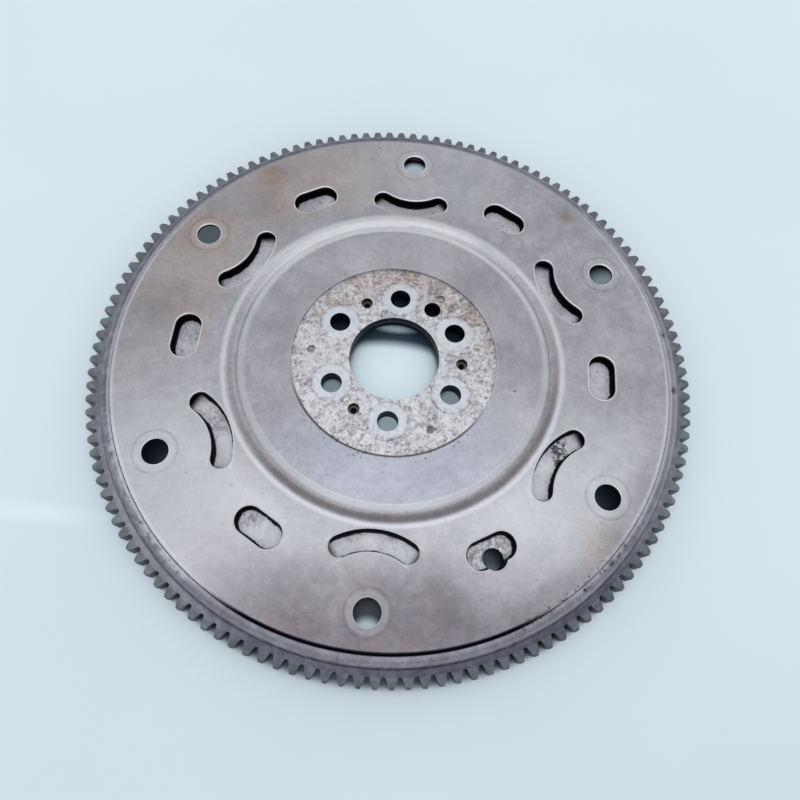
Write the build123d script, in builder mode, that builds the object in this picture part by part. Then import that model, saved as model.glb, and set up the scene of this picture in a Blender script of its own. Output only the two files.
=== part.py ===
from build123d import *
import math
import os

os.makedirs("parts", exist_ok=True)

# Starter ring gear on the drive plate of an automatic gearbox.
# Origin on the axis at the underside of the ring gear, +Z towards the converter.
# Lengths are millimetres, angles are degrees counted from +X.

# Starter teeth
tooth_count = 133
tooth_module = 2.1167
pressure_angle = 20
addendum_factor = 1.0
dedendum_factor = 1.25
first_tooth_angle = -0.95
tooth_face_width = 8.5
tooth_entry_chamfer = 0.9
cutter_overrun = 1

# Ring gear section inside the tooth roots
ring_land = 2.6
ring_rim_width = 5.4
ring_shoulder_draft = 0.5
ring_shoulder_radius = 4.0
ring_top_drop = 0.3
ring_corner_chamfer = 0.2
ring_bore_chamfer = 0.5

# Levels and sheet thicknesses
carrier_height = 5.5
carrier_thickness = 3.6
spacer_thickness = 3.8
plate_thickness = 1.6

# Drive plate rim and central opening
rim_gap = 0.4
rim_edge_chamfer = 0.3
opening_radius = 48.4
opening_edge_chamfer = 0.3
punched_edge_width = 0.7
punched_edge_depth = 0.35

# Pressed groove of the drive plate
groove_inner_radius = 70.35
groove_low_offset = 4.2
groove_width = 7.8
groove_depth = 1.4
groove_lip_radius = 2
groove_bottom_radius = 3.5
groove_run_out_radius = 6

# Converter bolt holes, with the openings in the carrier that clear them
converter_count = 6
converter_edge_distance = 15.2
converter_hole_radius = 5.875
converter_first_angle = 90
access_hole_radius = 13

# Kidney slots, each bent round a converter hole on its inner side
kidney_web = 2.75
kidney_width = 9.6
kidney_half_angle = 30

# Oval slots between the converter holes
oval_inset = 16.2
oval_length = 22.6
oval_width = 12.4

# Gauge hole that breaks into the edge of one oval slot
gauge_offset = 3.0
gauge_hole_radius = 5.5
gauge_carrier_radius = 4.6
gauge_angle = 300

# Hub face
bore_radius = 21.3
spacer_setback = 2.35
crank_count = 6
crank_circle_radius = 32
crank_hole_radius = 4.9
crank_first_angle = 90
dowel_hole_radius = 4
dowel_angle = 60

# Hollow rivets on the crank bolt circle
rivet_count = 3
rivet_radius = 2.75
rivet_bore_radius = 1.5
rivet_recess_depth = 2.5
rivet_foot_height = 0.5

# Shallow dimples outside the crank bolt circle
dimple_count = 3
dimple_offset = 7.3
dimple_radius = 2
dimple_depth = 0.8
dimple_first_angle = 60

# Sizes that follow from the values above
pitch_radius = tooth_module * tooth_count / 2
base_radius = pitch_radius * math.cos(math.radians(pressure_angle))
tip_radius = pitch_radius + addendum_factor * tooth_module
root_radius = pitch_radius - dedendum_factor * tooth_module
tooth_pitch_angle = 360 / tooth_count
ring_crease = root_radius - ring_land
ring_shoulder_edge = ring_crease - ring_shoulder_draft
ring_bore_radius = ring_crease - ring_rim_width
plate_radius = ring_bore_radius - rim_gap
spacer_radius = groove_inner_radius - spacer_setback
groove_low_radius = groove_inner_radius + groove_low_offset
groove_outer_radius = groove_inner_radius + groove_width
converter_circle_radius = plate_radius - converter_edge_distance
kidney_centre_radius = converter_circle_radius - groove_outer_radius - kidney_web - kidney_width / 2
oval_circle_radius = converter_circle_radius - oval_inset
gauge_circle_radius = oval_circle_radius + gauge_offset
dimple_circle_radius = crank_circle_radius + dimple_offset
punched_edge_slope = math.degrees(math.atan2(punched_edge_width, punched_edge_depth))
spacer_bottom = carrier_height + carrier_thickness
plate_bottom = spacer_bottom + spacer_thickness
plate_top = plate_bottom + plate_thickness
ring_height = plate_top - ring_top_drop
converter_pitch_angle = 360 / converter_count
oval_first_angle = converter_first_angle + converter_pitch_angle / 2
crank_pitch_angle = 360 / crank_count
rivet_first_angle = crank_first_angle + crank_pitch_angle / 2
rivet_bottom = carrier_height + rivet_foot_height
rivet_top = plate_bottom - rivet_recess_depth


# Half the angle of a tooth at a radius, in radians, from the involute of the base circle
def tooth_half_angle(radius):
    slope = math.acos(base_radius / radius)
    slope_at_pitch = math.radians(pressure_angle)
    growth = (math.tan(slope_at_pitch) - slope_at_pitch) - (math.tan(slope) - slope)
    return math.pi / (2 * tooth_count) + growth


# A point on one flank of the space between two teeth, the space being centred on +X
def flank_point(radius, side):
    angle = side * (math.pi / tooth_count - tooth_half_angle(radius))
    return (radius * math.cos(angle), radius * math.sin(angle))


# Space between two starter teeth, open past the tips
space_end_radius = tip_radius + tooth_module
with BuildSketch() as tooth_space:
    with BuildLine():
        Polyline(
            flank_point(root_radius, 1),
            flank_point(pitch_radius, 1),
            flank_point(space_end_radius, 1),
            flank_point(space_end_radius, -1),
            flank_point(pitch_radius, -1),
            flank_point(root_radius, -1),
            close=True,
        )
    make_face()

# Ring gear, turned as a blank and then cut between its teeth
with BuildPart() as ring_gear:
    with BuildSketch(Plane.XZ) as ring_section:
        with BuildLine():
            Polyline(
                (ring_bore_radius, 0),
                (tip_radius, 0),
                (tip_radius, tooth_face_width),
                (ring_crease, tooth_face_width),
                (ring_shoulder_edge, ring_height),
                (ring_bore_radius, ring_height),
                close=True,
            )
        make_face()
        corners = ring_section.vertices()
        tips = corners.group_by(Axis.X)[-1].sort_by(Axis.Y)
        bore_corner = corners.group_by(Axis.X)[0].sort_by(Axis.Y)[0]
        top_corners = corners.group_by(Axis.Y)[-1].sort_by(Axis.X)
        chamfer(tips[-1], length=tooth_entry_chamfer)
        chamfer(bore_corner, length=ring_bore_chamfer)
        chamfer(top_corners[0], length=ring_corner_chamfer)
        shoulder = ring_section.vertices().group_by(Axis.Y)[-1].sort_by(Axis.X)[-1]
        fillet(shoulder, radius=ring_shoulder_radius)
    revolve(axis=Axis.Z)
    with BuildSketch(Plane.XY.offset(-cutter_overrun)):
        first_space_angle = first_tooth_angle + tooth_pitch_angle / 2
        with PolarLocations(0, tooth_count, start_angle=first_space_angle):
            add(tooth_space.sketch)
    extrude(amount=tooth_face_width + 2 * cutter_overrun, mode=Mode.SUBTRACT)
ring_gear.part.label = "ring_gear"
export_step(ring_gear.part, "parts/ring_gear.step")

# Drive plate, a pressed sheet with its groove, slots and bolt holes
with BuildPart() as drive_plate:
    with BuildSketch(Plane.XZ) as plate_section:
        with BuildLine() as sheet_line:
            FilletPolyline(
                (opening_radius, plate_top),
                (groove_inner_radius, plate_top),
                (groove_low_radius, plate_top - groove_depth),
                (groove_outer_radius, plate_top),
                (plate_radius, plate_top),
                radius=[groove_lip_radius, groove_bottom_radius, groove_run_out_radius],
            )
            offset(amount=plate_thickness, side=Side.RIGHT)
        make_face()
        opening_corner = plate_section.vertices().group_by(Axis.X)[0].sort_by(Axis.Y)[-1]
        chamfer(opening_corner, length=opening_edge_chamfer)
        rim_corner = plate_section.vertices().group_by(Axis.X)[-1].sort_by(Axis.Y)[-1]
        chamfer(rim_corner, length=rim_edge_chamfer)
    revolve(axis=Axis.Z)
    with BuildSketch(Plane.XY.offset(plate_top)):
        with PolarLocations(converter_circle_radius, converter_count, converter_first_angle):
            Circle(converter_hole_radius)
            kidney_start = 180 - kidney_half_angle
            kidney_arc = CenterArc((0, 0), kidney_centre_radius, kidney_start, 2 * kidney_half_angle)
            SlotArc(kidney_arc, kidney_width)
        with PolarLocations(oval_circle_radius, converter_count, oval_first_angle):
            SlotOverall(oval_length, oval_width, rotation=90)
    extrude(amount=-2 * plate_thickness, mode=Mode.SUBTRACT)
    top_faces = drive_plate.faces().filter_by(Plane.XY).group_by(Axis.Z)[-1]
    flat_rim = top_faces.sort_by(SortBy.AREA)[-1]
    slot_edges = flat_rim.inner_wires().sort_by(SortBy.LENGTH)[:-1].edges()
    chamfer(slot_edges, length=punched_edge_width, length2=punched_edge_depth, reference=flat_rim)
    with Locations(Plane.XY.offset(plate_top)):
        with PolarLocations(gauge_circle_radius, 1, gauge_angle):
            CounterSinkHole(
                gauge_hole_radius,
                gauge_hole_radius + punched_edge_width,
                depth=2 * plate_thickness,
                counter_sink_angle=2 * punched_edge_slope,
            )
drive_plate.part.label = "drive_plate"
export_step(drive_plate.part, "parts/drive_plate.step")

# Hub spacer, under the drive plate and seen through its central opening
with BuildPart() as hub_spacer:
    with BuildSketch(Plane.XY.offset(spacer_bottom)):
        Circle(spacer_radius)
        Circle(bore_radius, mode=Mode.SUBTRACT)
        with PolarLocations(crank_circle_radius, crank_count, crank_first_angle):
            Circle(crank_hole_radius, mode=Mode.SUBTRACT)
        with PolarLocations(crank_circle_radius, 1, dowel_angle):
            Circle(dowel_hole_radius, mode=Mode.SUBTRACT)
        with PolarLocations(crank_circle_radius, rivet_count, rivet_first_angle):
            Circle(rivet_radius, mode=Mode.SUBTRACT)
    extrude(amount=spacer_thickness)
    with BuildSketch(Plane.XY.offset(plate_bottom)):
        with PolarLocations(dimple_circle_radius, dimple_count, dimple_first_angle):
            Circle(dimple_radius)
    extrude(amount=-dimple_depth, mode=Mode.SUBTRACT)
hub_spacer.part.label = "hub_spacer"
export_step(hub_spacer.part, "parts/hub_spacer.step")

# Carrier plate, fitting the bore of the ring gear
with BuildPart() as carrier_plate:
    with BuildSketch(Plane.XY.offset(carrier_height)):
        Circle(ring_bore_radius)
        Circle(bore_radius, mode=Mode.SUBTRACT)
        with PolarLocations(crank_circle_radius, crank_count, crank_first_angle):
            Circle(crank_hole_radius, mode=Mode.SUBTRACT)
        with PolarLocations(crank_circle_radius, 1, dowel_angle):
            Circle(dowel_hole_radius, mode=Mode.SUBTRACT)
        with PolarLocations(crank_circle_radius, rivet_count, rivet_first_angle):
            Circle(rivet_radius, mode=Mode.SUBTRACT)
        with PolarLocations(converter_circle_radius, converter_count, converter_first_angle):
            Circle(access_hole_radius, mode=Mode.SUBTRACT)
        with PolarLocations(gauge_circle_radius, 1, gauge_angle):
            Circle(gauge_carrier_radius, mode=Mode.SUBTRACT)
    extrude(amount=carrier_thickness)
carrier_plate.part.label = "carrier_plate"
export_step(carrier_plate.part, "parts/carrier_plate.step")

# Hollow rivets through the hub spacer and the carrier plate
with BuildPart() as hollow_rivets:
    with BuildSketch(Plane.XY.offset(rivet_bottom)):
        with PolarLocations(crank_circle_radius, rivet_count, rivet_first_angle):
            Circle(rivet_radius)
            Circle(rivet_bore_radius, mode=Mode.SUBTRACT)
    extrude(amount=rivet_top - rivet_bottom)
hollow_rivets.part.label = "hollow_rivets"
export_step(hollow_rivets.part, "parts/hollow_rivets.step")
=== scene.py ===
import math
import bpy
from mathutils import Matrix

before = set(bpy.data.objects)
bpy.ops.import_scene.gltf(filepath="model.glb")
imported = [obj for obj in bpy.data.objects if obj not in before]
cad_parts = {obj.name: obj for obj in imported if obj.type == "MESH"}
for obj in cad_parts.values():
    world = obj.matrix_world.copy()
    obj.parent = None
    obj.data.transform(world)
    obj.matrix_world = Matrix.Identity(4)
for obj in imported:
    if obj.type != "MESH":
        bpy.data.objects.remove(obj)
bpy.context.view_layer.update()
print("frame loaded")

# camera, at the photograph's place and viewing angle: turn in degrees, lens and sensor in mm
cameraLook = {
    "location": (0.0028338, -0.127185, 0.2779816), "turn": (21.6702, -2.5022, 5.2949),
    "lens": 27.985, "sensor": 36.0, "clip": 0.01,
}
bpy.ops.object.select_all(action="DESELECT")
cameraTurn = [math.radians(angle) for angle in cameraLook["turn"]]
bpy.ops.object.camera_add(location=cameraLook["location"], rotation=cameraTurn)
camera = bpy.context.object
camera.name = "photoCamera"
camera.data.lens = cameraLook["lens"]
camera.data.sensor_width = cameraLook["sensor"]
camera.data.clip_start = cameraLook["clip"]
bpy.context.scene.camera = camera
bpy.context.scene.view_settings.view_transform = "Standard"
print("camera placed")

# circles of holes that the finishes follow: radius in mm, turn of the first hole and step in degrees
holeCircles = {
    "crank": dict(Circle=32.0, First=90.0), "converter": dict(Circle=114.515, First=90.0),
    "oval": dict(Circle=98.315, First=0.0), "dimple": dict(Circle=39.3, First=60.0, Step=120.0),
}
# slots in mm; a kidney is an arc round its converter hole, its ends given as cosines of its half angle
slotSizes = {
    "kidneyArc": 28.8, "kidneyHalfWidth": 4.8, "kidneyEnds": (0.76, 0.84),
    "ovalHalfStraight": 5.1, "ovalEndRadius": 6.2,
}
# turns in degrees, from, to and softness: the open gap between plate and ring, painted black as shade, and the
# rims with the brightest painted highlights
gapTurns = [(243.0, 303.0, 6.0)]
brightTurns = [(150.0, 232.0, 16.0), (320.0, 405.0, 16.0)]
perMetre = 1000.0  # the nodes work in metres, most values here are in mm
zero = (0.0, 0.0, 0.0)


# small helpers for node trees: a value may be a number, a tuple or another node's output
def feed(tree, sockets, values):
    for socket, value in zip(sockets, values):
        if isinstance(value, bpy.types.NodeSocket):
            tree.links.new(value, socket)
        elif value is not None:
            socket.default_value = value


def calc(tree, operation, *values):
    node = tree.nodes.new("ShaderNodeMath")
    node.operation = operation
    feed(tree, node.inputs, values)
    return node.outputs[0]


def vectorCalc(tree, operation, *values):
    node = tree.nodes.new("ShaderNodeVectorMath")
    node.operation = operation
    feed(tree, node.inputs, values)
    return node.outputs["Value"] if operation == "LENGTH" else node.outputs[0]


def fade(tree, value, low, high, start=0.0, end=1.0):
    node = tree.nodes.new("ShaderNodeMapRange")
    node.interpolation_type = "SMOOTHSTEP"
    feed(tree, node.inputs, (value, low, high, start, end))
    return node.outputs[0]


def fadeOut(tree, value, low, high):
    return fade(tree, value, low, high, 1.0, 0.0)


def softStep(tree, value, edge, soft, start=0.0, end=1.0):
    return fade(tree, value, calc(tree, "SUBTRACT", edge, soft), calc(tree, "ADD", edge, soft), start, end)


def inverse(tree, value):
    return calc(tree, "SUBTRACT", 1.0, value)


def scaled(tree, value, factor, shift):
    return calc(tree, "ADD", calc(tree, "MULTIPLY", value, factor), shift)


def lowered(tree, value, pattern, factor):
    return calc(tree, "SUBTRACT", value, calc(tree, "MULTIPLY", pattern, factor))


def swing(tree, pattern, amount):  # a pattern from 0 to 1, made to swing both ways
    return calc(tree, "MULTIPLY", calc(tree, "SUBTRACT", pattern, 0.5), amount)


def allOf(tree, *masks):
    result = masks[0]
    for mask in masks[1:]:
        result = calc(tree, "MULTIPLY", result, mask)
    return result


def anyOf(tree, *masks):
    result = masks[0]
    for mask in masks[1:]:
        result = calc(tree, "MAXIMUM", result, mask)
    return result


def noise(tree, vector, scale, detail, roughness, seed, distortion=0.0):
    node = tree.nodes.new("ShaderNodeTexNoise")
    node.noise_dimensions = "4D"
    names = ("Vector", "W", "Scale", "Detail", "Roughness", "Distortion")
    feed(tree, [node.inputs[name] for name in names], (vector, seed, scale, detail, roughness, distortion))
    return node.outputs[0]


def mixColor(tree, factor, first, second, mode="MIX"):
    node = tree.nodes.new("ShaderNodeMix")
    node.data_type = "RGBA"
    node.blend_type = mode
    feed(tree, (node.inputs[0], node.inputs[6], node.inputs[7]), (factor, first, second))
    return node.outputs[2]


def split(tree, vector):
    node = tree.nodes.new("ShaderNodeSeparateXYZ")
    feed(tree, node.inputs, (vector,))
    return node.outputs


def join(tree, x, y, z=0.0):
    node = tree.nodes.new("ShaderNodeCombineXYZ")
    feed(tree, node.inputs, (x, y, z))
    return node.outputs[0]


def newGroup(name, inputs, outputs):
    group = bpy.data.node_groups.new(name, "ShaderNodeTree")
    for sockets, side in ((inputs, "INPUT"), (outputs, "OUTPUT")):
        for label, value in sockets.items():
            kind = "NodeSocketVector" if isinstance(value, tuple) else "NodeSocketFloat"
            socket = group.interface.new_socket(name=label, in_out=side, socket_type=kind)
            socket.default_value = value
    start = group.nodes.new("NodeGroupInput")
    end = group.nodes.new("NodeGroupOutput")
    return group, start.outputs, end.inputs


def useGroup(tree, name, **values):
    node = tree.nodes.new("ShaderNodeGroup")
    node.node_tree = bpy.data.node_groups[name]
    for label, value in values.items():
        feed(tree, (node.inputs[label],), (value,))
    return node.outputs


def nearestHole(tree, radius, turn, name):
    return useGroup(tree, "holeDistance", Radius=radius, Turn=turn, **holeCircles[name])


# place on the disc: radius and height in mm, turn in degrees, and a vector that runs round it without a seam
tree, given, out = newGroup(
    "discPlace", {"Place": zero}, {"Radius": 0.0, "Turn": 0.0, "Around": zero, "Height": 0.0})
x, y, z = split(tree, given["Place"])
flat = join(tree, x, y)
radius = calc(tree, "MULTIPLY", vectorCalc(tree, "LENGTH", flat), perMetre)
turn = calc(tree, "MULTIPLY", calc(tree, "ARCTAN2", y, x), 180 / math.pi)
turn = calc(tree, "FLOORED_MODULO", turn, 360.0)
aroundX, aroundY = split(tree, vectorCalc(tree, "NORMALIZE", flat))[:2]
around = join(tree, aroundX, aroundY, calc(tree, "MULTIPLY", radius, 0.01))  # unit circle, radius as height
feed(tree, out, (radius, turn, around, calc(tree, "MULTIPLY", z, perMetre)))

# distance in mm to the nearest of some holes spaced evenly on a circle
tree, given, out = newGroup(
    "holeDistance", {"Radius": 1.0, "Turn": 1.0, "Circle": 1.0, "First": 1.0, "Step": 60.0},
    {"Distance": 0.0, "Outward": 0.0, "Sideways": 0.0})
steps = calc(tree, "DIVIDE", calc(tree, "SUBTRACT", given["Turn"], given["First"]), given["Step"])
offTurn = calc(tree, "MULTIPLY", calc(tree, "SUBTRACT", steps, calc(tree, "ROUND", steps)), given["Step"])
offTurn = calc(tree, "RADIANS", offTurn)
sideways = calc(tree, "MULTIPLY", given["Radius"], calc(tree, "SINE", offTurn))
outward = calc(tree, "MULTIPLY", given["Radius"], calc(tree, "COSINE", offTurn))
outward = calc(tree, "SUBTRACT", outward, given["Circle"])
feed(tree, out, (vectorCalc(tree, "LENGTH", join(tree, sideways, outward)), outward, sideways))

# distance in mm outside the edges of the kidney and oval slots, and 1 where a kidney can be
tree, given, out = newGroup(
    "slotEdges", {"Radius": 1.0, "Turn": 1.0}, {"Kidney": 0.0, "KidneyArc": 0.0, "Oval": 0.0})
nearest = nearestHole(tree, given["Radius"], given["Turn"], "converter")
inward = calc(tree, "MULTIPLY", nearest["Outward"], -1.0)
kidneyArc = fade(tree, calc(tree, "DIVIDE", inward, nearest["Distance"]), *slotSizes["kidneyEnds"])
offArc = calc(tree, "ABSOLUTE", calc(tree, "SUBTRACT", nearest["Distance"], slotSizes["kidneyArc"]))
kidneyEdge = calc(tree, "SUBTRACT", offArc, slotSizes["kidneyHalfWidth"])
nearest = nearestHole(tree, given["Radius"], given["Turn"], "oval")
pastStraight = calc(tree, "SUBTRACT", calc(tree, "ABSOLUTE", nearest["Sideways"]), slotSizes["ovalHalfStraight"])
pastStraight = calc(tree, "MAXIMUM", pastStraight, 0.0)
fromEnd = vectorCalc(tree, "LENGTH", join(tree, pastStraight, nearest["Outward"]))
feed(tree, out, (kidneyEdge, kidneyArc, calc(tree, "SUBTRACT", fromEnd, slotSizes["ovalEndRadius"])))

# a band from low to high with soft edges
tree, given, out = newGroup("softBand", {"Value": 0.0, "Low": 0.0, "High": 1.0, "Soft": 0.1}, {"Mask": 0.0})
rise = softStep(tree, given["Value"], given["Low"], given["Soft"])
fall = softStep(tree, given["Value"], given["High"], given["Soft"], 1.0, 0.0)
feed(tree, out, (allOf(tree, rise, fall),))

# part of the disc between two turns: Middle and Half in degrees
tree, given, out = newGroup("turnBand", {"Turn": 0.0, "Middle": 0.0, "Half": 20.0, "Soft": 5.0}, {"Mask": 0.0})
away = calc(tree, "ADD", calc(tree, "SUBTRACT", given["Turn"], given["Middle"]), 180.0)
away = calc(tree, "SUBTRACT", calc(tree, "FLOORED_MODULO", away, 360.0), 180.0)
away = calc(tree, "ABSOLUTE", away)
feed(tree, out, (softStep(tree, away, given["Half"], given["Soft"], 1.0, 0.0),))

# one spot at X, Y in mm; Wander is a noise from 0 to 1 that makes its edge ragged
tree, given, out = newGroup(
    "patch", {"Place": zero, "X": 0.0, "Y": 0.0, "Size": 5.0, "Soft": 2.0, "Ragged": 0.5, "Wander": 0.5},
    {"Mask": 0.0})
placeX, placeY = split(tree, given["Place"])[:2]
offset = join(tree, calc(tree, "SUBTRACT", calc(tree, "MULTIPLY", placeX, perMetre), given["X"]),
              calc(tree, "SUBTRACT", calc(tree, "MULTIPLY", placeY, perMetre), given["Y"]))
wobble = allOf(tree, given["Size"], given["Ragged"], 4.0)  # 4, as a noise seldom leaves its middle quarter
wobble = swing(tree, given["Wander"], wobble)
distance = calc(tree, "ADD", vectorCalc(tree, "LENGTH", offset), wobble)
feed(tree, out, (softStep(tree, distance, given["Size"], given["Soft"], 1.0, 0.0),))

# turned grain: long streaks round the disc, fine across it
tree, given, out = newGroup("turnedGrain", {"Around": zero, "Long": 2.0, "Fine": 60.0}, {"Mask": 0.0})
grainX, grainY, grainZ = split(tree, given["Around"])
streak = join(tree, calc(tree, "MULTIPLY", grainX, given["Long"]), calc(tree, "MULTIPLY", grainY, given["Long"]),
              calc(tree, "MULTIPLY", grainZ, given["Fine"]))
feed(tree, out, (noise(tree, streak, 1.0, 4.0, 0.6, 3.1),))

# specks of rust or dirt: Amount from 0 to 1, Size in mm
tree, given, out = newGroup("specks", {"Place": zero, "Size": 1.0, "Amount": 0.3, "Seed": 0.0}, {"Mask": 0.0})
density = calc(tree, "DIVIDE", perMetre, given["Size"])
field = noise(tree, given["Place"], density, 3.0, 0.62, given["Seed"], 0.3)
edge = lowered(tree, 0.78, given["Amount"], 0.42)  # noise above this is a speck
feed(tree, out, (softStep(tree, field, edge, 0.05),))

# round dots of rust, about Gap mm apart; Amount from 0 to 1 is the share of the places that hold one
tree, given, out = newGroup("dotting", {"Place": zero, "Gap": 1.2, "Amount": 0.5, "Reach": 0.42}, {"Mask": 0.0})
cells = tree.nodes.new("ShaderNodeTexVoronoi")
density = calc(tree, "DIVIDE", perMetre, given["Gap"])
feed(tree, (cells.inputs["Vector"], cells.inputs["Scale"]), (given["Place"], density))
chance, dotSize = split(tree, cells.outputs["Color"])[:2]
present = softStep(tree, chance, given["Amount"], 0.06, 1.0, 0.0)
ragged = swing(tree, noise(tree, given["Place"], 1800.0, 2.0, 0.5, 0.4), 0.45)
reach = allOf(tree, given["Reach"], scaled(tree, dotSize, 0.75, 0.45))  # smaller and larger dots
away = calc(tree, "ADD", cells.outputs["Distance"], ragged)
feed(tree, out, (allOf(tree, softStep(tree, away, reach, 0.12, 1.0, 0.0), present),))

# cloudy stain, 0 to 1, about Size mm across
tree, given, out = newGroup("cloud", {"Place": zero, "Size": 30.0, "Sharp": 0.5, "Seed": 0.0}, {"Mask": 0.0})
field = noise(tree, given["Place"], calc(tree, "DIVIDE", perMetre, given["Size"]), 5.0, 0.6, given["Seed"], 0.6)
feed(tree, out, (softStep(tree, field, 0.5, calc(tree, "MULTIPLY", inverse(tree, given["Sharp"]), 0.3)),))

# fine straight scratches: Turn is their direction in radians, Gap their rough distance in mm
tree, given, out = newGroup("scratches", {"Place": zero, "Turn": 0.8, "Gap": 6.0, "Seed": 0.0}, {"Mask": 0.0})
turned = tree.nodes.new("ShaderNodeVectorRotate")
turned.rotation_type = "Z_AXIS"
feed(tree, (turned.inputs["Vector"], turned.inputs["Angle"]), (given["Place"], given["Turn"]))
lengthwise, across = split(tree, turned.outputs[0])[:2]
across = calc(tree, "DIVIDE", calc(tree, "MULTIPLY", across, 2500.0), given["Gap"])  # narrow across, long along
stretched = join(tree, calc(tree, "MULTIPLY", lengthwise, 28.0), across)
field = noise(tree, stretched, 1.0, 3.0, 0.6, given["Seed"], 0.15)
feed(tree, out, (fade(tree, field, 0.62, 0.72),))
print("node groups made")


def rgb(red, green, blue):
    return (red, green, blue, 1.0)


def startMaterial(name):
    material = bpy.data.materials.new(name)
    material.use_nodes = True
    tree = material.node_tree
    shader = tree.nodes["Principled BSDF"]
    place = tree.nodes.new("ShaderNodeTexCoord").outputs["Object"]
    return material, tree, shader, place


def setShader(tree, shader, values):
    for name, value in values.items():
        feed(tree, (shader.inputs[name],), (value,))


def bumpNormal(tree, height, look):
    node = tree.nodes.new("ShaderNodeBump")
    node.inputs["Strength"].default_value, node.inputs["Distance"].default_value = look["bump"]
    feed(tree, (node.inputs["Height"],), (height,))
    return node.outputs["Normal"]


def roughnessFrom(tree, pattern, look):  # swings evenly about the plain roughness
    return scaled(tree, pattern, look["roughnessSwing"], look["roughness"] - look["roughnessSwing"] / 2)


def upFacing(tree):
    normal = tree.nodes.new("ShaderNodeNewGeometry").outputs["True Normal"]
    return split(tree, normal)[2]


# three ways to lay on a layer: cover paints over, stain darkens by a tint, vary changes the brightness
def cover(tree, color, mask, strength, paint):
    return mixColor(tree, calc(tree, "MULTIPLY", mask, strength), color, paint)


def stain(tree, color, mask, strength, tint):
    return mixColor(tree, calc(tree, "MULTIPLY", mask, strength), color, tint, "MULTIPLY")


def vary(tree, color, pattern, spread, middle=1.0):
    node = tree.nodes.new("ShaderNodeMapRange")
    feed(tree, node.inputs, (pattern, 0.25, 0.75, middle - spread, middle + spread))  # most noise is in this range
    combine = tree.nodes.new("ShaderNodeCombineColor")
    feed(tree, combine.inputs, (node.outputs[0],) * 3)
    return mixColor(tree, 1.0, color, combine.outputs[0], "MULTIPLY")


# layers from the steel up: masks that are multiplied, how it is laid on, strength, colour or middle brightness
def layOn(tree, color, masks, look, layers):
    for names, lay, strength, paint in layers:
        mask = allOf(tree, *(masks[name] for name in names.split()))
        color = lay(tree, color, mask, strength, look.get(paint, paint))
    return color


# spots in mm: x, y, size, softness, strength, kind of stain
def addSpots(tree, place, color, look):
    wander = noise(tree, place, 180.0, 4.0, 0.6, 2.0)
    for spotX, spotY, size, soft, strength, kind in look["spots"]:
        spot = useGroup(tree, "patch", Place=place, X=spotX, Y=spotY, Size=size, Soft=soft,
                        Ragged=0.35, Wander=wander)
        color = stain(tree, color, spot["Mask"], strength, look[kind])
    return color


def band(tree, value, low, high, soft):
    return useGroup(tree, "softBand", Value=value, Low=low, High=high, Soft=soft)["Mask"]


def arcs(tree, turn, spans):
    masks = []
    for start, end, soft in spans:
        group = useGroup(tree, "turnBand", Turn=turn, Middle=(start + end) / 2, Half=(end - start) / 2, Soft=soft)
        masks.append(group["Mask"])
    return anyOf(tree, *masks)


# a zone of the disc: turns in degrees and ring or layer in mm, each from, to and softness; where it fades in
# and out with the radius; and above or below which height
def zoneMask(tree, disc, turns=None, ring=None, layer=None, rise=None, fall=None, above=None, below=None):
    masks = []
    if turns:
        masks.append(arcs(tree, disc["Turn"], turns))
    if ring:
        masks.append(band(tree, disc["Radius"], *ring))
    if layer:
        masks.append(band(tree, disc["Height"], *layer))
    if rise:
        masks.append(fade(tree, disc["Radius"], *rise))
    if fall:
        masks.append(fadeOut(tree, disc["Radius"], *fall))
    if above:
        masks.append(fade(tree, disc["Height"], *above))
    if below:
        masks.append(fadeOut(tree, disc["Height"], *below))
    return allOf(tree, *masks)


# all masks that a look lists: its fine noise (scale, detail, roughness, seed), its patterns, each a node group
# with its own values, and its zones
def listedMasks(tree, place, disc, look):
    masks = {"fine": noise(tree, place, *look["fine"])}
    for name, (group, values) in look["patterns"].items():
        where = {"Around": disc["Around"]} if group == "turnedGrain" else {"Place": place}
        masks[name] = useGroup(tree, group, **where, **values)["Mask"]
    for name, zone in look["zones"].items():
        masks[name] = zoneMask(tree, disc, **zone)
    return masks
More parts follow.
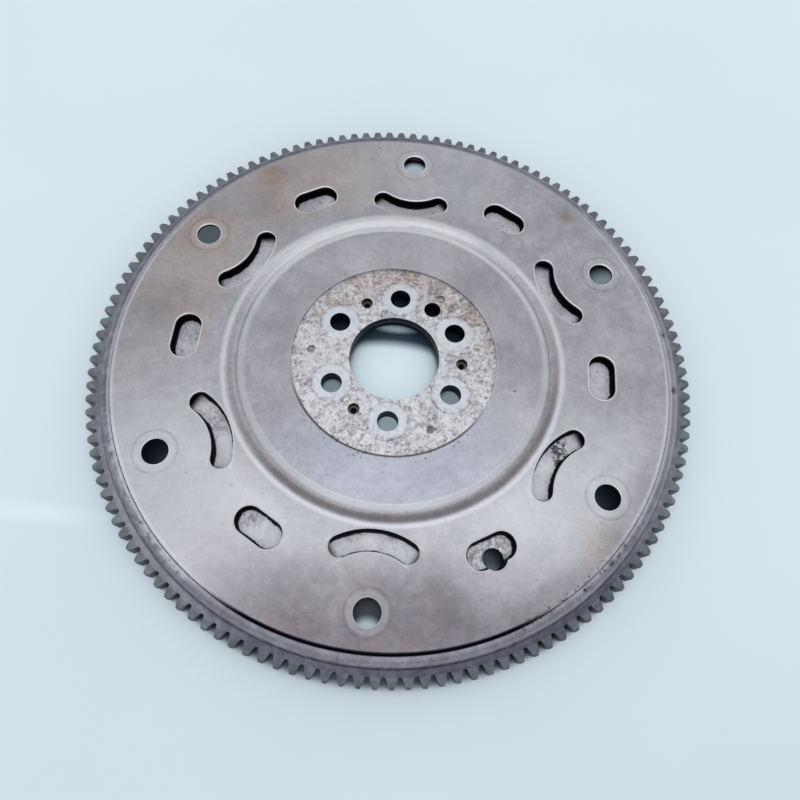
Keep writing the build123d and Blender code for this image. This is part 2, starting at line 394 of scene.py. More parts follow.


# drive plate: satin pressed steel, stained, with painted highlights on its edges
drivePlateLook = {
    "steel": rgb(0.412, 0.404, 0.445), "cool": rgb(0.355, 0.350, 0.392), "blue": rgb(0.95, 0.985, 1.05),
    "tan": rgb(0.98, 0.87, 0.75), "brown": rgb(0.82, 0.68, 0.55), "stain": rgb(0.65, 0.62, 0.63),
    "dirt": rgb(0.30, 0.25, 0.22), "soot": rgb(0.045, 0.038, 0.038), "black": rgb(0.005, 0.006, 0.014),
    "bright": rgb(0.78, 0.79, 0.83),
    "roughness": 0.34, "roughnessSwing": 0.14, "smallRoughness": 0.05, "oilRoughness": 0.08, "edgeMetal": 0.8,
    "bump": (0.3, 0.00005), "tinyHeight": 0.9, "dotDepth": 0.8,
    "fine": (900.0, 4.0, 0.65, 2.0),
    "patterns": {
        "grain": ("turnedGrain", dict(Long=3.5, Fine=70.0)),
        "wide": ("cloud", dict(Size=85.0, Sharp=0.2, Seed=1.7)),
        "middle": ("cloud", dict(Size=26.0, Sharp=0.3, Seed=5.2)),
        "small": ("cloud", dict(Size=9.0, Sharp=0.3, Seed=3.4)),
        "tiny": ("cloud", dict(Size=2.6, Sharp=0.3, Seed=6.4)),
        "smears": ("cloud", dict(Size=38.0, Sharp=0.72, Seed=8.3)),
        "lines": ("scratches", dict(Turn=0.9, Gap=5.0, Seed=1.0)),
        "moreLines": ("scratches", dict(Turn=-0.5, Gap=7.0, Seed=4.0)),
        "dots": ("dotting", dict(Gap=2.0, Amount=0.45, Reach=0.32)),
        "freckles": ("dotting", dict(Gap=4.0, Amount=0.10, Reach=0.14)),
        "cloudy": ("specks", dict(Size=3.0, Amount=0.50, Seed=2.6)),
        "rimSpecks": ("specks", dict(Size=2.2, Amount=0.12, Seed=4.0)),
        "rimPits": ("dotting", dict(Gap=1.2, Amount=0.55, Reach=0.5)),
    },
    "zones": {
        "outer": dict(rise=(82.0, 90.0)),
        "nearLeft": dict(turns=[(197.0, 242.0, 14.0)], rise=(78.0, 92.0)),
        "nearRight": dict(turns=[(300.0, 347.0, 12.0)], rise=(78.0, 86.0), fall=(112.0, 127.0)),
        "nearInner": dict(turns=[(225.0, 325.0, 16.0)], rise=(78.0, 82.0), fall=(92.0, 106.0)),
        "farOuter": dict(turns=[(62.0, 118.0, 16.0)], rise=(82.0, 90.0)),
        "annulus": dict(fall=(68.5, 70.0)), "nearTurns": dict(turns=[(225.0, 325.0, 20.0)]),
        "sideTurns": dict(turns=[(352.0, 415.0, 18.0), (130.0, 222.0, 18.0)]),
        "lightTurns": dict(turns=[(65.0, 125.0, 16.0), (240.0, 345.0, 16.0)]),
        "farLeft": dict(turns=[(98.0, 185.0, 18.0)], rise=(80.0, 92.0)),
        "nearRimTurns": dict(turns=[(243.0, 302.0, 20.0)]),
        "rimDarkerTurns": dict(turns=[(245.0, 304.0, 12.0)]),
        "innerFlank": dict(ring=(70.2, 73.0, 0.8)), "outerFlank": dict(ring=(78.4, 80.6, 0.9)),
        "groove": dict(ring=(73.9, 77.9, 0.9)), "grooveEdge": dict(ring=(73.4, 73.9, 0.3)),
        "nearSide": dict(turns=[(222.0, 360.0, 24.0)]),
        "farSide": dict(turns=[(58.0, 150.0, 22.0)]),
        "wideGroove": dict(ring=(72.6, 77.9, 0.9)), "grooveWall": dict(ring=(73.0, 75.0, 0.5)),
        "openingTurns": dict(turns=[(205.0, 325.0, 16.0)]),
        "openingEdge": dict(ring=(47.8, 49.4, 0.35)), "openingRim": dict(ring=(48.0, 52.0, 1.5)),
        "openingWall": dict(ring=(47.0, 48.9, 0.15)),
        "punchedRims": dict(layer=(14.13, 14.44, 0.04), rise=(79.6, 80.6), fall=(128.0, 128.6)),
        "rubbedTurns": dict(turns=[(190.0, 360.0, 25.0)]),
        "gapTurns": dict(turns=gapTurns), "gapRim": dict(rise=(128.5, 129.3)),
        "brightTurns": dict(turns=brightTurns),
        "outerLine": dict(ring=(128.2, 131.0, 0.3)), "outerWall": dict(rise=(129.45, 129.6)),
        "holeWalls": dict(ring=(55.0, 127.0, 0.5), above=(12.7, 12.9)),
        "pitArc": dict(turns=[(299.0, 322.0, 3.0)], rise=(127.0, 129.0)),
        "pitDirt": dict(turns=[(296.0, 330.0, 8.0)], rise=(118.0, 128.0)),
    },
    "nearRim": (88.0, 116.0), "rimDarker": (112.0, 128.0), "rimWander": 14.0,  # radii, and how far clouds push them
    "boltRing": (6.4, 8.6, 0.7), "boltLine": (9.4, 10.2, 0.45),  # mm from the middle of a converter hole
    "slotRim": (-0.5, 0.7, 0.3), "wallTilt": (0.3, 0.6),  # mm outside a slot; how far a wall may face upwards
    "farLeftTan": (0.55, 0.25), "rimBrightness": (0.26, 0.04),  # more in clouds or bright turns, and everywhere
    "layers": [
        ("wide", cover, 0.6, "cool"),
        ("grain", vary, 0.025, 1.0), ("fine", vary, 0.11, 1.0), ("tiny", vary, 0.045, 1.0),
        ("small", vary, 0.05, 1.0), ("middle", vary, 0.06, 1.0), ("smears", vary, 0.035, 1.0),
        ("middle wide", stain, 0.22, "tan"),
        # scratches crossing the outer part
        ("lines outer middle", cover, 0.20, "bright"), ("moreLines outer wide", stain, 0.32, "stain"),
        # painted sheen on lighter stretches, the bluish inner part on the near side with its stains, and on the
        # inner part painted shade at the sides and a painted highlight near and far
        ("nearLeft", cover, 0.27, "bright"), ("nearRight", cover, 0.23, "bright"),
        ("nearInner", cover, 0.10, "bright"), ("farOuter", cover, 0.14, "bright"),
        ("annulus nearTurns", stain, 1.0, "blue"), ("annulus nearTurns dots", stain, 0.18, "stain"),
        ("annulus nearTurns small", stain, 0.18, "stain"), ("freckles", stain, 0.35, "dirt"),
        ("annulus nearTurns cloudy", stain, 0.22, "stain"), ("annulus sideTurns", stain, 0.22, "stain"),
        ("annulus lightTurns", cover, 0.09, "bright"),
        # tan and brown stains on the far left, and along the near rim a brownish stain and a darker zone
        ("farLeft farLeftTan", stain, 1.0, "tan"), ("farLeft small", stain, 0.25, "stain"),
        ("nearRim", stain, 1.0, "stain"), ("nearRim small", vary, 0.06, 1.04),
        ("nearRim middle", stain, 0.4, "tan"), ("rimDarker", stain, 0.65, "stain"),
    ],
    "spots": [
        (-74.0, 97.0, 7.0, 5.0, 0.7, "brown"), (-74.8, 80.0, 10.0, 7.0, 0.45, "brown"),
        (-99.7, 57.6, 13.0, 7.0, 0.55, "tan"), (81.2, 90.5, 3.5, 3.0, 0.8, "brown"),
        (57.2, -11.5, 0.7, 0.4, 0.8, "dirt"), (71.7, -99.7, 3.0, 2.5, 0.3, "stain"),
        (8.0, -104.0, 16.0, 12.0, 0.35, "stain"), (-30.0, -113.0, 13.0, 9.0, 0.3, "stain"),
        (34.0, -110.0, 12.0, 9.0, 0.25, "stain"), (-114.3, 16.9, 11.0, 9.0, 0.35, "stain"),
        (-100.0, 18.5, 10.0, 8.0, 0.3, "tan"), (97.0, -80.0, 10.0, 7.0, 0.55, "tan"),
        (-62.0, 106.0, 16.0, 12.0, 0.3, "tan"),
    ],
    "edgeLayers": [
        # pressed groove: painted highlights on both flanks, brighter on the far side; dirt in the bottom, with
        # painted shade over it on the near side
        ("innerFlank", cover, 0.42, "bright"), ("outerFlank", cover, 0.42, "bright"),
        ("wideGroove farSide", cover, 0.38, "bright"), ("grooveWall farSide", cover, 0.60, "bright"),
        ("groove nearSide", stain, 0.55, "dirt"), ("groove small", stain, 0.22, "brown"),
        ("grooveEdge small", stain, 0.35, "dirt"),
        # contact rings round the converter holes
        ("boltRing", cover, 0.10, "bright"), ("boltLine tiny", stain, 0.5, "dirt"),
        # edge of the central opening: a painted shadow line and rust dots on the near side, a painted lit wall on
        # the far side
        ("openingEdge openingTurns", stain, 1.0, "dirt"), ("openingRim openingTurns dots", stain, 0.7, "dirt"),
        ("openingWall openingFar", cover, 0.12, "bright"),
        ("rimSpecks", stain, 0.4, "brown"),
        # painted highlights on the punched rims, stronger round the near side
        ("punchedRims", cover, 0.50, "bright"), ("slotRims rubbedTurns", cover, 0.32, "bright"),
        # painted highlight on the outer rim line and its wall; painted black shade on the hole and slot walls and
        # in the open gap on the near rim
        ("outerLine noGap rimBrightness", cover, 1.0, "bright"), ("holeWalls steep", cover, 0.97, "black"),
        ("outerWall noGap", cover, 0.9, "bright"), ("gapTurns gapRim", cover, 1.0, "black"),
        # rust pits where the black gap ends on the near right
        ("pitArc rimPits", cover, 0.75, "soot"), ("pitDirt", stain, 0.45, "stain"),
    ],
}


def makeDrivePlateSteel(look):
    material, tree, shader, place = startMaterial("drivePlateSteel")
    disc = useGroup(tree, "discPlace", Place=place)
    masks = listedMasks(tree, place, disc, look)
    masks["farLeftTan"] = scaled(tree, masks["middle"], *look["farLeftTan"])
    unevenRadius = calc(tree, "ADD", disc["Radius"], swing(tree, masks["wide"], look["rimWander"]))
    masks["nearRim"] = allOf(tree, masks["nearRimTurns"], fade(tree, unevenRadius, *look["nearRim"]))
    masks["rimDarker"] = allOf(tree, masks["rimDarkerTurns"], fade(tree, unevenRadius, *look["rimDarker"]))
    bolt = nearestHole(tree, disc["Radius"], disc["Turn"], "converter")["Distance"]
    masks["boltRing"] = band(tree, bolt, *look["boltRing"])
    masks["boltLine"] = band(tree, bolt, *look["boltLine"])
    masks["openingFar"] = inverse(tree, masks["openingTurns"])
    edges = useGroup(tree, "slotEdges", Radius=disc["Radius"], Turn=disc["Turn"])
    kidneyRims = allOf(tree, band(tree, edges["Kidney"], *look["slotRim"]), edges["KidneyArc"])
    masks["slotRims"] = anyOf(tree, kidneyRims, band(tree, edges["Oval"], *look["slotRim"]))
    masks["noGap"] = inverse(tree, masks["gapTurns"])
    masks["rimBrightness"] = scaled(tree, masks["brightTurns"], *look["rimBrightness"])
    masks["steep"] = fadeOut(tree, upFacing(tree), *look["wallTilt"])
    color = layOn(tree, look["steel"], masks, look, look["layers"])
    color = addSpots(tree, place, color, look)
    color = layOn(tree, color, masks, look, look["edgeLayers"])
    rough = roughnessFrom(tree, masks["fine"], look)
    rough = calc(tree, "ADD", rough, calc(tree, "MULTIPLY", masks["small"], look["smallRoughness"]))
    rough = calc(tree, "ADD", rough, allOf(tree, masks["nearRim"], masks["middle"], look["oilRoughness"]))
    rimWall = allOf(tree, masks["outerWall"], masks["noGap"])
    height = calc(tree, "ADD", calc(tree, "MULTIPLY", masks["tiny"], look["tinyHeight"]), masks["fine"])
    pitted = allOf(tree, masks["dots"], masks["annulus"], masks["nearTurns"])
    height = lowered(tree, height, pitted, look["dotDepth"])
    setShader(tree, shader, {"Base Color": color, "Roughness": rough, "Normal": bumpNormal(tree, height, look),
                             "Metallic": lowered(tree, 1.0, rimWall, look["edgeMetal"])})
    return material


# ring gear: dark oiled grey with a painted lilac shade on parts of the shoulder and land, teal-grey teeth with
# painted black shade on the flanks
ringGearLook = {
    "steel": rgb(0.196, 0.190, 0.228), "teeth": rgb(0.165, 0.172, 0.192),
    "near": rgb(0.58, 0.57, 0.64), "nearTeeth": rgb(0.64, 0.65, 0.70),
    "bright": rgb(0.62, 0.62, 0.66), "dirt": rgb(0.20, 0.18, 0.19), "black": rgb(0.005, 0.006, 0.014),
    "roughness": 0.42, "roughnessSwing": 0.16, "edgeMetal": 0.8,
    "bump": (0.35, 0.00006), "grainHeight": 0.5, "flakeHeight": 0.8, "pitDepth": 1.2,
    "fine": (1100.0, 4.0, 0.65, 2.0),
    "patterns": {
        "grain": ("turnedGrain", dict(Long=3.0, Fine=70.0)),
        "longMottle": ("turnedGrain", dict(Long=26.0, Fine=45.0)),
        "middle": ("cloud", dict(Size=16.0, Sharp=0.3, Seed=2.2)),
        "small": ("cloud", dict(Size=4.0, Sharp=0.5, Seed=7.7)),
        "flakes": ("cloud", dict(Size=4.5, Sharp=0.66, Seed=9.0)),
        "grit": ("dotting", dict(Gap=1.4, Amount=0.5, Reach=0.5)),
        "pits": ("dotting", dict(Gap=1.3, Amount=0.45, Reach=0.5)),
    },
    "zones": {
        "onTeeth": dict(rise=(136.6, 138.2)), "tips": dict(rise=(142.0, 142.5)),
        "nearSide": dict(turns=[(240.0, 325.0, 16.0)]),
        "land": dict(ring=(135.4, 138.6, 1.2)), "toothTops": dict(rise=(138.0, 139.6)),
        "shoulder": dict(fall=(133.4, 134.2)),
        "crease": dict(ring=(134.6, 135.9, 0.5), above=(7.4, 8.0)),
        "farLeft": dict(turns=[(80.0, 172.0, 14.0)], ring=(129.6, 137.8, 0.6)),
        "nearRightLand": dict(turns=[(272.0, 325.0, 8.0)], ring=(134.6, 138.6, 0.6)),
        "toothSides": dict(rise=(136.2, 137.2)),
        "rightShoulder": dict(turns=[(335.0, 378.0, 14.0)], fall=(134.0, 135.0)),
        "leftLand": dict(turns=[(205.0, 238.0, 12.0)], ring=(136.0, 138.4, 0.5)),
        "flaked": dict(turns=[(201.0, 236.0, 5.0)], ring=(129.0, 132.8, 0.9), above=(8.6, 9.4)),
        "pitted": dict(turns=[(298.0, 326.0, 3.0)], ring=(129.0, 132.0, 0.5)),
        "gapTurns": dict(turns=gapTurns), "gapRim": dict(fall=(130.3, 130.9)),
        "brightTurns": dict(turns=brightTurns),
        "topEdge": dict(ring=(129.8, 131.2, 0.35), above=(10.0, 12.0)),
        "boreWall": dict(fall=(130.15, 130.3), above=(9.0, 10.0)),
        "seam": dict(turns=[(265.7, 265.9, 0.10)], above=(8.0, 8.6)),
    },
    "flankTilt": (0.25, 0.6), "flankDirt": (0.95, 0.55),  # how far it may face upwards; less painted shade at the tips
    "creaseDirt": (0.06, 0.26), "edgeLight": (0.24, 0.12),  # more on the near side or bright turns, and elsewhere
    "layers": [
        ("onTeeth", cover, 1.0, "teeth"),
        ("grain", vary, 0.12, 1.0), ("fine", vary, 0.15, 1.0), ("middle", vary, 0.10, 1.0),
        ("small", vary, 0.12, 1.0), ("longMottle", vary, 0.14, 1.0),
        # painted shade, darker and lilac, on the near side land and tooth tops, and a faint painted highlight on
        # the near shoulder
        ("land nearSide", stain, 1.0, "near"), ("toothTops nearSide", stain, 1.0, "nearTeeth"),
        ("shoulder nearSide", cover, 0.08, "bright"),
        # painted black shade in the crease at the foot of the shoulder and on the tooth flanks, painted lilac
        # shade on the far left and near right land, and painted highlights on the right shoulder and left land
        ("crease creaseDirt", stain, 1.0, "dirt"), ("farLeft", stain, 0.60, "near"),
        ("nearRightLand", stain, 0.50, "near"), ("steep toothSides flankDirt", stain, 1.0, "dirt"),
        ("rightShoulder", cover, 0.16, "bright"), ("leftLand", cover, 0.16, "bright"),
        # flaked, pitted stretch of the shoulder on the near left
        ("flaked flakes", cover, 0.5, "bright"), ("flaked grit", cover, 0.35, "bright"),
        # rust pits along the top edge on the near right
        ("pitted pits", stain, 0.9, "dirt"),
    ],
    "spots": [
        (99.1, -84.9, 1.6, 0.5, 1.0, "dirt"), (88.3, -97.3, 1.0, 0.4, 0.9, "dirt"),
        (105.7, -77.2, 0.9, 0.4, 0.9, "dirt"), (128.2, 26.0, 1.3, 0.5, 0.9, "dirt"),
        (132.0, -2.9, 1.4, 0.6, 0.8, "dirt"),
    ],
    "edgeLayers": [
        # painted highlights on the top edge and on the bore wall beside the drive plate, painted black shade in
        # the open gap, and the joint line across the ring
        ("topEdge edgeLight", cover, 1.0, "bright"), ("boreWall noGap", cover, 0.85, "bright"),
        ("gapTurns gapRim", cover, 1.0, "black"), ("seam", stain, 0.45, "dirt"),
    ],
}


def makeRingGearSteel(look):
    material, tree, shader, place = startMaterial("ringGearSteel")
    disc = useGroup(tree, "discPlace", Place=place)
    masks = listedMasks(tree, place, disc, look)
    masks["creaseDirt"] = scaled(tree, masks["nearSide"], *look["creaseDirt"])
    masks["steep"] = fadeOut(tree, upFacing(tree), *look["flankTilt"])
    mostShade, tipsLighter = look["flankDirt"]
    masks["flankDirt"] = lowered(tree, mostShade, masks["tips"], tipsLighter)
    masks["noGap"] = inverse(tree, masks["gapTurns"])
    brighter, plain = look["edgeLight"]
    brighter = allOf(tree, masks["brightTurns"], masks["noGap"], brighter)
    masks["edgeLight"] = calc(tree, "ADD", brighter, calc(tree, "MULTIPLY", masks["noGap"], plain))
    color = layOn(tree, look["steel"], masks, look, look["layers"])
    color = addSpots(tree, place, color, look)
    color = layOn(tree, color, masks, look, look["edgeLayers"])
    innerWall = allOf(tree, masks["boreWall"], masks["noGap"])
    height = calc(tree, "ADD", calc(tree, "MULTIPLY", masks["grain"], look["grainHeight"]), masks["fine"])
    height = calc(tree, "ADD", height, allOf(tree, masks["flaked"], masks["flakes"], look["flakeHeight"]))
    height = lowered(tree, height, allOf(tree, masks["pitted"], masks["pits"]), look["pitDepth"])
    setShader(tree, shader, {
        "Base Color": color, "Roughness": roughnessFrom(tree, masks["fine"], look),
        "Metallic": lowered(tree, 1.0, innerWall, look["edgeMetal"]), "Normal": bumpNormal(tree, height, look)})
    return material


# hub face: ground pale steel peppered with rust, clean rings where the bolt heads sat
hubLook = {
    "steel": rgb(0.620, 0.610, 0.640), "clean": rgb(0.62, 0.65, 0.71), "rust": rgb(0.175, 0.145, 0.150),
    "warm": rgb(0.95, 0.80, 0.70), "dark": rgb(0.10, 0.08, 0.08), "black": rgb(0.005, 0.006, 0.014),
    "roughness": 0.44, "rustRoughness": 0.3, "metal": (0.95, 0.6), "bump": (0.4, 0.00006), "rustDepth": 1.2,
    "fine": (1300.0, 4.0, 0.65, 2.0),
    "patterns": {
        "blotches": ("cloud", dict(Size=13.0, Sharp=0.3, Seed=4.1)),
        "patchy": ("cloud", dict(Size=6.0, Sharp=0.5, Seed=3.3)),
        "mark": ("patch", dict(X=25.2, Y=29.5, Size=1.9, Soft=0.5)),  # faint, beside the dowel hole
    },
    "zones": {
        "farSide": dict(turns=[(10.0, 150.0, 30.0)], rise=(30.0, 41.0)),
        "nearDimple": dict(turns=[(270.0, 330.0, 10.0)]), "farDimple": dict(turns=[(40.0, 80.0, 6.0)]),
        "holeWalls": dict(fall=(44.0, 45.0)), "hidden": dict(rise=(48.9, 49.6)),
        "boreLine": dict(fall=(22.0, 23.0), layer=(9.0, 9.5, 0.15)),
    },
    # share of rust: everywhere, more in blotches and on the far side, and how much less of that in the specks
    "rustShare": {"plain": 0.28, "blotches": 0.30, "farSide": 0.30, "evener": 0.24},
    # dots of rust: gap in mm, added share, reach; specks of rust: size in mm, added share, seed
    "rustDots": {"small": (1.05, 0.10, 0.42), "larger": (2.3, 0.05, 0.42), "cores": (2.2, 0.04, 0.34)},
    "rustSpecks": {"haze": (3.2, 0.12, 8.1), "clumps": (1.9, 0.04, 5.7)}, "paleRust": 0.5,
    # mm from the middle of a crank hole, and how far clouds push that
    "contact": (7.0, 9.8), "contactLine": (9.1, 9.7, 0.3), "contactWander": 0.8,
    "dimple": (1.2, 2.2), "dimpleDirt": {"plain": 0.35, "near": 0.40, "far": 0.28},
    "wallTilt": (0.3, 0.6),
    "layers": [
        ("fine", vary, 0.16, 1.0), ("farSide blotches", stain, 0.9, "warm"), ("patchy", vary, 0.07, 1.0),
        ("haze", cover, 0.30, "rust"), ("larger", cover, 0.28, "rust"), ("small", cover, 0.20, "rust"),
        ("clumps", cover, 0.52, "rust"), ("cores", cover, 0.42, "dark"),
        ("contact", cover, 0.74, "clean"), ("contactLine blotches", stain, 0.5, "dark"),
        ("dimples dimpleDirt", stain, 1.0, "dark"), ("mark", stain, 0.35, "dark"),
        # painted black shade on the walls of the bore and holes, a painted lit grey line round the bore where two
        # plates meet, and painted black shade where the drive plate hides the face
        ("steep holeWalls", cover, 0.98, "black"), ("steep holeWalls boreLine", cover, 0.35, "clean"),
        ("hidden", cover, 0.9, "black"),
    ],
}


def makeHubSteel(look):
    material, tree, shader, place = startMaterial("hubSteel")
    disc = useGroup(tree, "discPlace", Place=place)
    masks = listedMasks(tree, place, disc, look)
    share = look["rustShare"]
    amount = calc(tree, "ADD", calc(tree, "MULTIPLY", masks["farSide"], share["farSide"]),
                  scaled(tree, masks["blotches"], share["blotches"], share["plain"]))
    evener = lowered(tree, amount, masks["farSide"], share["evener"])
    for name, (gap, more, reach) in look["rustDots"].items():
        dots = useGroup(tree, "dotting", Place=place, Gap=gap, Amount=calc(tree, "ADD", amount, more), Reach=reach)
        masks[name] = dots["Mask"]
    for name, (size, more, seed) in look["rustSpecks"].items():
        dots = useGroup(tree, "specks", Place=place, Size=size, Amount=calc(tree, "ADD", evener, more), Seed=seed)
        masks[name] = dots["Mask"]
    # contact rings round the crank holes
    crank = nearestHole(tree, disc["Radius"], disc["Turn"], "crank")["Distance"]
    crank = calc(tree, "ADD", crank, swing(tree, masks["blotches"], look["contactWander"]))
    masks["contact"] = fadeOut(tree, crank, *look["contact"])
    masks["contactLine"] = band(tree, crank, *look["contactLine"])
    # shallow dimples with dirt and painted shade: the near right one is the darkest, the far one the lightest
    dimple = nearestHole(tree, disc["Radius"], disc["Turn"], "dimple")["Distance"]
    masks["dimples"] = fadeOut(tree, dimple, *look["dimple"])
    dirt = look["dimpleDirt"]
    dimpleDarkness = scaled(tree, masks["nearDimple"], dirt["near"], dirt["plain"])
    masks["dimpleDirt"] = lowered(tree, dimpleDarkness, masks["farDimple"], dirt["far"])
    masks["steep"] = fadeOut(tree, upFacing(tree), *look["wallTilt"])
    color = layOn(tree, look["steel"], masks, look, look["layers"])
    rusty = calc(tree, "MULTIPLY", anyOf(tree, masks["small"], masks["larger"]), look["paleRust"])
    rusty = anyOf(tree, rusty, masks["cores"])
    cleanMetal, rustLoss = look["metal"]
    height = lowered(tree, masks["fine"], rusty, look["rustDepth"])
    setShader(tree, shader, {
        "Base Color": color, "Roughness": scaled(tree, rusty, look["rustRoughness"], look["roughness"]),
        "Metallic": lowered(tree, cleanMetal, rusty, rustLoss), "Normal": bumpNormal(tree, height, look)})
    return material


# carrier plate, seen at the bottom of the slots: pale crusted grey below the slots, painted black shade where the
# drive plate covers it
carrierLook = {
    "steel": rgb(0.50, 0.48, 0.54), "crust": rgb(0.70, 0.69, 0.74), "pale": rgb(0.92, 0.93, 0.97),
    "dark": rgb(0.15, 0.13, 0.13), "soot": rgb(0.075, 0.065, 0.07), "under": rgb(0.24, 0.23, 0.26),
    "black": rgb(0.005, 0.006, 0.014),
    "roughness": 0.55, "metal": (0.6, 0.4), "bump": (0.5, 0.0001),  # metal: more in the painted shade, and everywhere
    "fine": (1000.0, 4.0, 0.7, 2.0),
    "patterns": {
        "crust": ("cloud", dict(Size=14.0, Sharp=0.55, Seed=6.0)),
        "small": ("specks", dict(Size=1.6, Amount=0.36, Seed=1.3)),
        "large": ("specks", dict(Size=6.0, Amount=0.24, Seed=5.1)),
        "crumbs": ("specks", dict(Size=1.8, Amount=0.66, Seed=4.4)),
        "grit": ("dotting", dict(Gap=1.2, Amount=0.5, Reach=0.5)),
    },
    "zones": {
        "nearSide": dict(turns=[(215.0, 345.0, 20.0)]),
        "topSide": dict(above=(8.6, 9.0)), "underside": dict(below=(5.8, 6.2)),
        "inner": dict(fall=(129.0, 129.5)),
    },
    # cracked, sooty crust in some of the slots: x, y and size in mm, and strength
    "cracks": [
        (77.8, -33.9, 4.6, 1.0), (79.2, -38.5, 3.6, 1.0), (79.8, -43.5, 3.2, 1.0), (80.5, -49.0, 3.0, 0.8),
        (72.0, -33.0, 3.0, 0.7), (48.0, -84.0, 11.0, 0.55), (-54.0, -80.5, 4.5, 0.5), (-77.0, -38.0, 6.0, 0.4),
        (-10.0, -82.0, 4.5, 0.45), (8.0, -81.0, 4.0, 0.35), (-98.0, 3.0, 5.0, 0.3),
    ],
    "crackNoise": (180.0, 4.0, 0.6, 5.0), "crackRagged": 0.4, "crackSoft": 0.5,
    "edgeNoise": (260.0, 3.0, 0.6, 8.0), "edgeWander": 1.6, "openEdge": (-1.4, -0.8),  # mm outside a slot's edge
    "wallTilt": (0.3, 0.6),
    "layers": [
        ("crust", cover, 1.0, "crust"), ("fine", vary, 0.20, 1.0),
        ("small", cover, 0.55, "dark"), ("large", cover, 0.5, "dark"), ("nearSide", cover, 0.35, "pale"),
    ],
    "shadeLayers": [
        # painted black shade on the covered top and on the walls of the openings, and a darker grey underside
        ("covered", cover, 0.98, "black"), ("underside", cover, 0.7, "under"), ("openWalls", cover, 0.97, "black"),
    ],
}


def makeCarrierSteel(look):
    material, tree, shader, place = startMaterial("carrierSteel")
    disc = useGroup(tree, "discPlace", Place=place)
    masks = listedMasks(tree, place, disc, look)
    color = layOn(tree, look["steel"], masks, look, look["layers"])
    spread = noise(tree, place, *look["crackNoise"])
    crumbs = anyOf(tree, masks["crumbs"], masks["grit"])
    for spotX, spotY, size, strength in look["cracks"]:
        area = useGroup(tree, "patch", Place=place, X=spotX, Y=spotY, Size=size, Soft=size * look["crackSoft"],
                        Ragged=look["crackRagged"], Wander=spread)
        color = cover(tree, color, allOf(tree, area["Mask"], crumbs), strength, look["soot"])
    # painted black shade everywhere but below the slots
    wander = swing(tree, noise(tree, place, *look["edgeNoise"]), look["edgeWander"])
    edges = useGroup(tree, "slotEdges", Radius=disc["Radius"], Turn=disc["Turn"])
    kidneyOpen = fadeOut(tree, calc(tree, "ADD", edges["Kidney"], wander), *look["openEdge"])
    ovalOpen = fadeOut(tree, calc(tree, "ADD", edges["Oval"], wander), *look["openEdge"])
    openPart = anyOf(tree, allOf(tree, kidneyOpen, edges["KidneyArc"]), ovalOpen)
    masks["covered"] = allOf(tree, inverse(tree, openPart), masks["topSide"])
    tilt = calc(tree, "ABSOLUTE", upFacing(tree))
    masks["openWalls"] = allOf(tree, fadeOut(tree, tilt, *look["wallTilt"]), masks["inner"])
    color = layOn(tree, color, masks, look, look["shadeLayers"])
    metal = scaled(tree, anyOf(tree, masks["covered"], masks["openWalls"]), *look["metal"])
    height = calc(tree, "SUBTRACT", masks["fine"], masks["small"])
    setShader(tree, shader, {"Base Color": color, "Roughness": look["roughness"], "Metallic": metal,
                             "Normal": bumpNormal(tree, height, look)})
    return material


# hollow rivets: dull brown-grey steel
rivetLook = {
    "steel": rgb(0.17, 0.145, 0.135), "roughness": 0.5, "roughnessSwing": 0.2, "metal": 0.8,
    "fine": (1500.0, 4.0, 0.6, 2.0), "mottle": 0.2, "bump": (0.3, 0.00004),
}


def makeRivetSteel(look):
    material, tree, shader, place = startMaterial("rivetSteel")
    fine = noise(tree, place, *look["fine"])
    setShader(tree, shader, {
        "Base Color": vary(tree, look["steel"], fine, look["mottle"]), "Metallic": look["metal"],
        "Roughness": roughnessFrom(tree, fine, look), "Normal": bumpNormal(tree, fine, look)})
    return material


nodeFinish = {
    "drive_plate": makeDrivePlateSteel(drivePlateLook),
    "ring_gear": makeRingGearSteel(ringGearLook),
    "hub_spacer": makeHubSteel(hubLook),
    "carrier_plate": makeCarrierSteel(carrierLook),
    "hollow_rivets": makeRivetSteel(rivetLook),
}
for nodeName, material in nodeFinish.items():
    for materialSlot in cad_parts[nodeName].material_slots:
        materialSlot.material = material
print("materials assigned")

# floor: pale blue-white and slightly glossy, in shade where the disc covers it
floorLook = {
    "size": 3.0, "roughness": 0.35, "mottle": 0.015, "mottleNoise": (9.0, 3.0, 0.5, 1.0),
    "color": rgb(0.735, 0.835, 0.885), "shade": rgb(0.035, 0.065, 0.10), "glow": rgb(0.68, 0.86, 0.95),
    "nearTint": rgb(0.92, 0.92, 0.93), "nearFade": (-0.18, -0.02),  # y in metres
    # the shade ends below the teeth, a little further out on the near side: turns in degrees, radii in mm
    "nearTurns": [(225.0, 325.0, 25.0)], "nearShift": (-3.5, 1.3), "shadeEnd": (138.0, 142.5),
    # the bore lets light in: radii in mm where that ends and where the glow falls, and the glow inside and outside
    "bore": (20.0, 23.0), "boreGlow": (17.0, 21.0, 0.21, 0.08),
    # but for a crescent on its far side, in metres from a point on the near side
    "crescentFrom": 0.07, "crescent": (0.0800, 0.0870),
    # places below holes where the photograph shows a lit floor: x, y, size, softness in mm, and how light
    "litSpots": [
        (0.5, -29.0, 5.0, 1.6, 0.32), (-28.3, -14.0, 5.0, 1.8, 0.24), (29.2, -13.5, 5.0, 1.8, 0.24),
        (0.5, -122.0, 5.5, 2.4, 0.50), (0.3, 121.5, 6.5, 2.0, 0.50), (-104.7, 64.6, 11.0, 3.0, 0.11),
        (106.5, 60.5, 8.0, 4.0, 0.24), (52.5, -94.0, 4.0, 3.0, 0.11),
    ],
    # soft gleams on the floor: x, y, half length and half width in mm, and how light
    "gleams": [(-152.0, -86.0, 36.0, 6.0, 0.09), (-1.0, 22.0, 11.0, 2.6, 0.30)], "gleamFade": (0.1, 1.2),
}
bpy.ops.object.select_all(action="DESELECT")
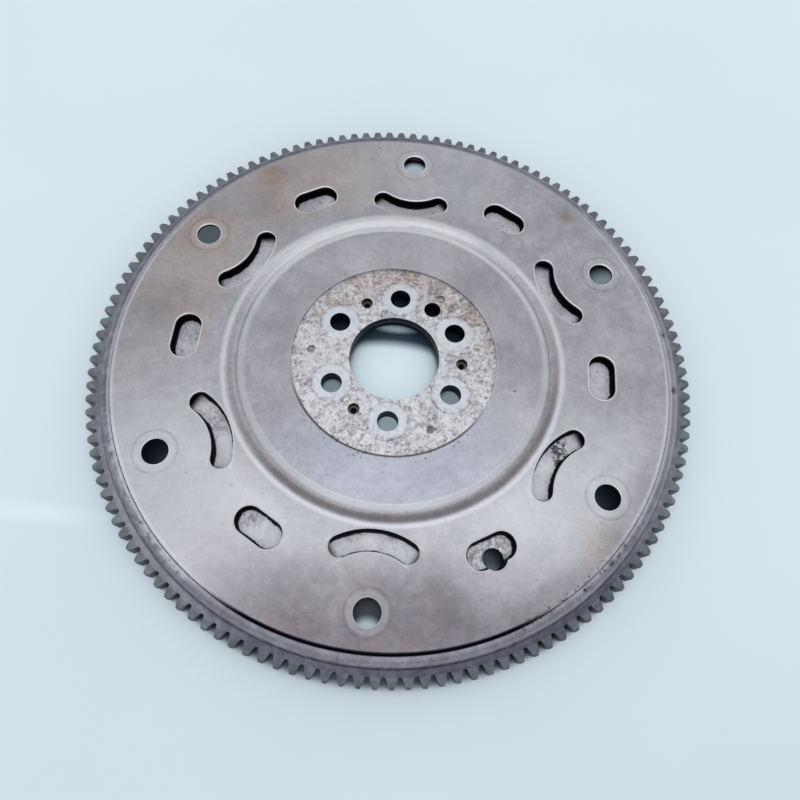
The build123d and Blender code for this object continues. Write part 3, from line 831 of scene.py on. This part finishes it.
bpy.ops.mesh.primitive_plane_add(size=floorLook["size"], location=(0, 0, 0))
floor = bpy.context.object
floor.name = "floor"
material, tree, shader, place = startMaterial("floorTop")
disc = useGroup(tree, "discPlace", Place=place)
floorX, floorY = split(tree, place)[:2]
mottle = noise(tree, place, *floorLook["mottleNoise"])
floorColor = vary(tree, floorLook["color"], mottle, floorLook["mottle"])
nearPart = fadeOut(tree, floorY, *floorLook["nearFade"])
floorColor = stain(tree, floorColor, nearPart, 1.0, floorLook["nearTint"])
fromNear = vectorCalc(tree, "LENGTH", join(tree, floorX, calc(tree, "ADD", floorY, floorLook["crescentFrom"])))
crescent = fade(tree, fromNear, *floorLook["crescent"])
openBore = allOf(tree, fadeOut(tree, disc["Radius"], *floorLook["bore"]), inverse(tree, crescent))
nearTurn = arcs(tree, disc["Turn"], floorLook["nearTurns"])
shadeRadius = calc(tree, "ADD", disc["Radius"], scaled(tree, nearTurn, *floorLook["nearShift"]))
lit = anyOf(tree, fade(tree, shadeRadius, *floorLook["shadeEnd"]), openBore)
floorColor = cover(tree, floorColor, inverse(tree, lit), 1.0, floorLook["shade"])
glow = allOf(tree, openBore, fade(tree, disc["Radius"], *floorLook["boreGlow"]))
for spotX, spotY, size, soft, strength in floorLook["litSpots"]:
    litSpot = useGroup(tree, "patch", Place=place, X=spotX, Y=spotY, Size=size, Soft=soft, Ragged=0.0)["Mask"]
    glow = anyOf(tree, glow, calc(tree, "MULTIPLY", litSpot, strength))
for gleamX, gleamY, halfLong, halfWide, strength in floorLook["gleams"]:
    along = calc(tree, "SUBTRACT", calc(tree, "MULTIPLY", floorX, perMetre), gleamX)
    across = calc(tree, "SUBTRACT", calc(tree, "MULTIPLY", floorY, perMetre), gleamY)
    offset = join(tree, calc(tree, "DIVIDE", along, halfLong), calc(tree, "DIVIDE", across, halfWide))
    gleam = fadeOut(tree, vectorCalc(tree, "LENGTH", offset), *floorLook["gleamFade"])
    glow = anyOf(tree, glow, calc(tree, "MULTIPLY", gleam, strength))
paths = tree.nodes.new("ShaderNodeLightPath").outputs
seen = anyOf(tree, paths["Is Camera Ray"], paths["Is Glossy Ray"], paths["Is Transmission Ray"])
glowColor = mixColor(tree, calc(tree, "MULTIPLY", seen, glow), rgb(0.0, 0.0, 0.0), floorLook["glow"])
setShader(tree, shader, {"Base Color": floorColor, "Roughness": floorLook["roughness"],
                         "Emission Color": glowColor, "Emission Strength": 1.0})
floor.data.materials.append(material)

# soft light: a dome, brightest overhead and round the horizon; each stop is the direction's height and strength
lightLook = {
    "tint": rgb(0.95, 0.98, 1.0), "backdrop": rgb(0.78, 0.88, 0.93),
    "dome": [
        (0.0, 1.41), (0.30, 1.30), (0.45, 0.79), (0.60, 0.54),
        (0.72, 0.81), (0.88, 0.90), (0.94, 1.41), (0.98, 1.60),
    ],
}
world = bpy.data.worlds.new("softDome")
bpy.context.scene.world = world
world.use_nodes = True
tree = world.node_tree
dome = tree.nodes["Background"]
direction = tree.nodes.new("ShaderNodeTexCoord").outputs["Generated"]
levels = tree.nodes.new("ShaderNodeValToRGB")
feed(tree, (levels.inputs[0],), (split(tree, direction)[2],))
while len(levels.color_ramp.elements) < len(lightLook["dome"]):
    levels.color_ramp.elements.new(0.5)
for element, (position, strength) in zip(levels.color_ramp.elements, lightLook["dome"]):
    element.position = position
    element.color = rgb(strength, strength, strength)
light = mixColor(tree, 1.0, levels.outputs[0], lightLook["tint"], "MULTIPLY")
seenByCamera = tree.nodes.new("ShaderNodeLightPath").outputs["Is Camera Ray"]
setShader(tree, dome, {"Color": mixColor(tree, seenByCamera, light, lightLook["backdrop"]), "Strength": 1.0})
print("floor and light placed")

print("scene ready")
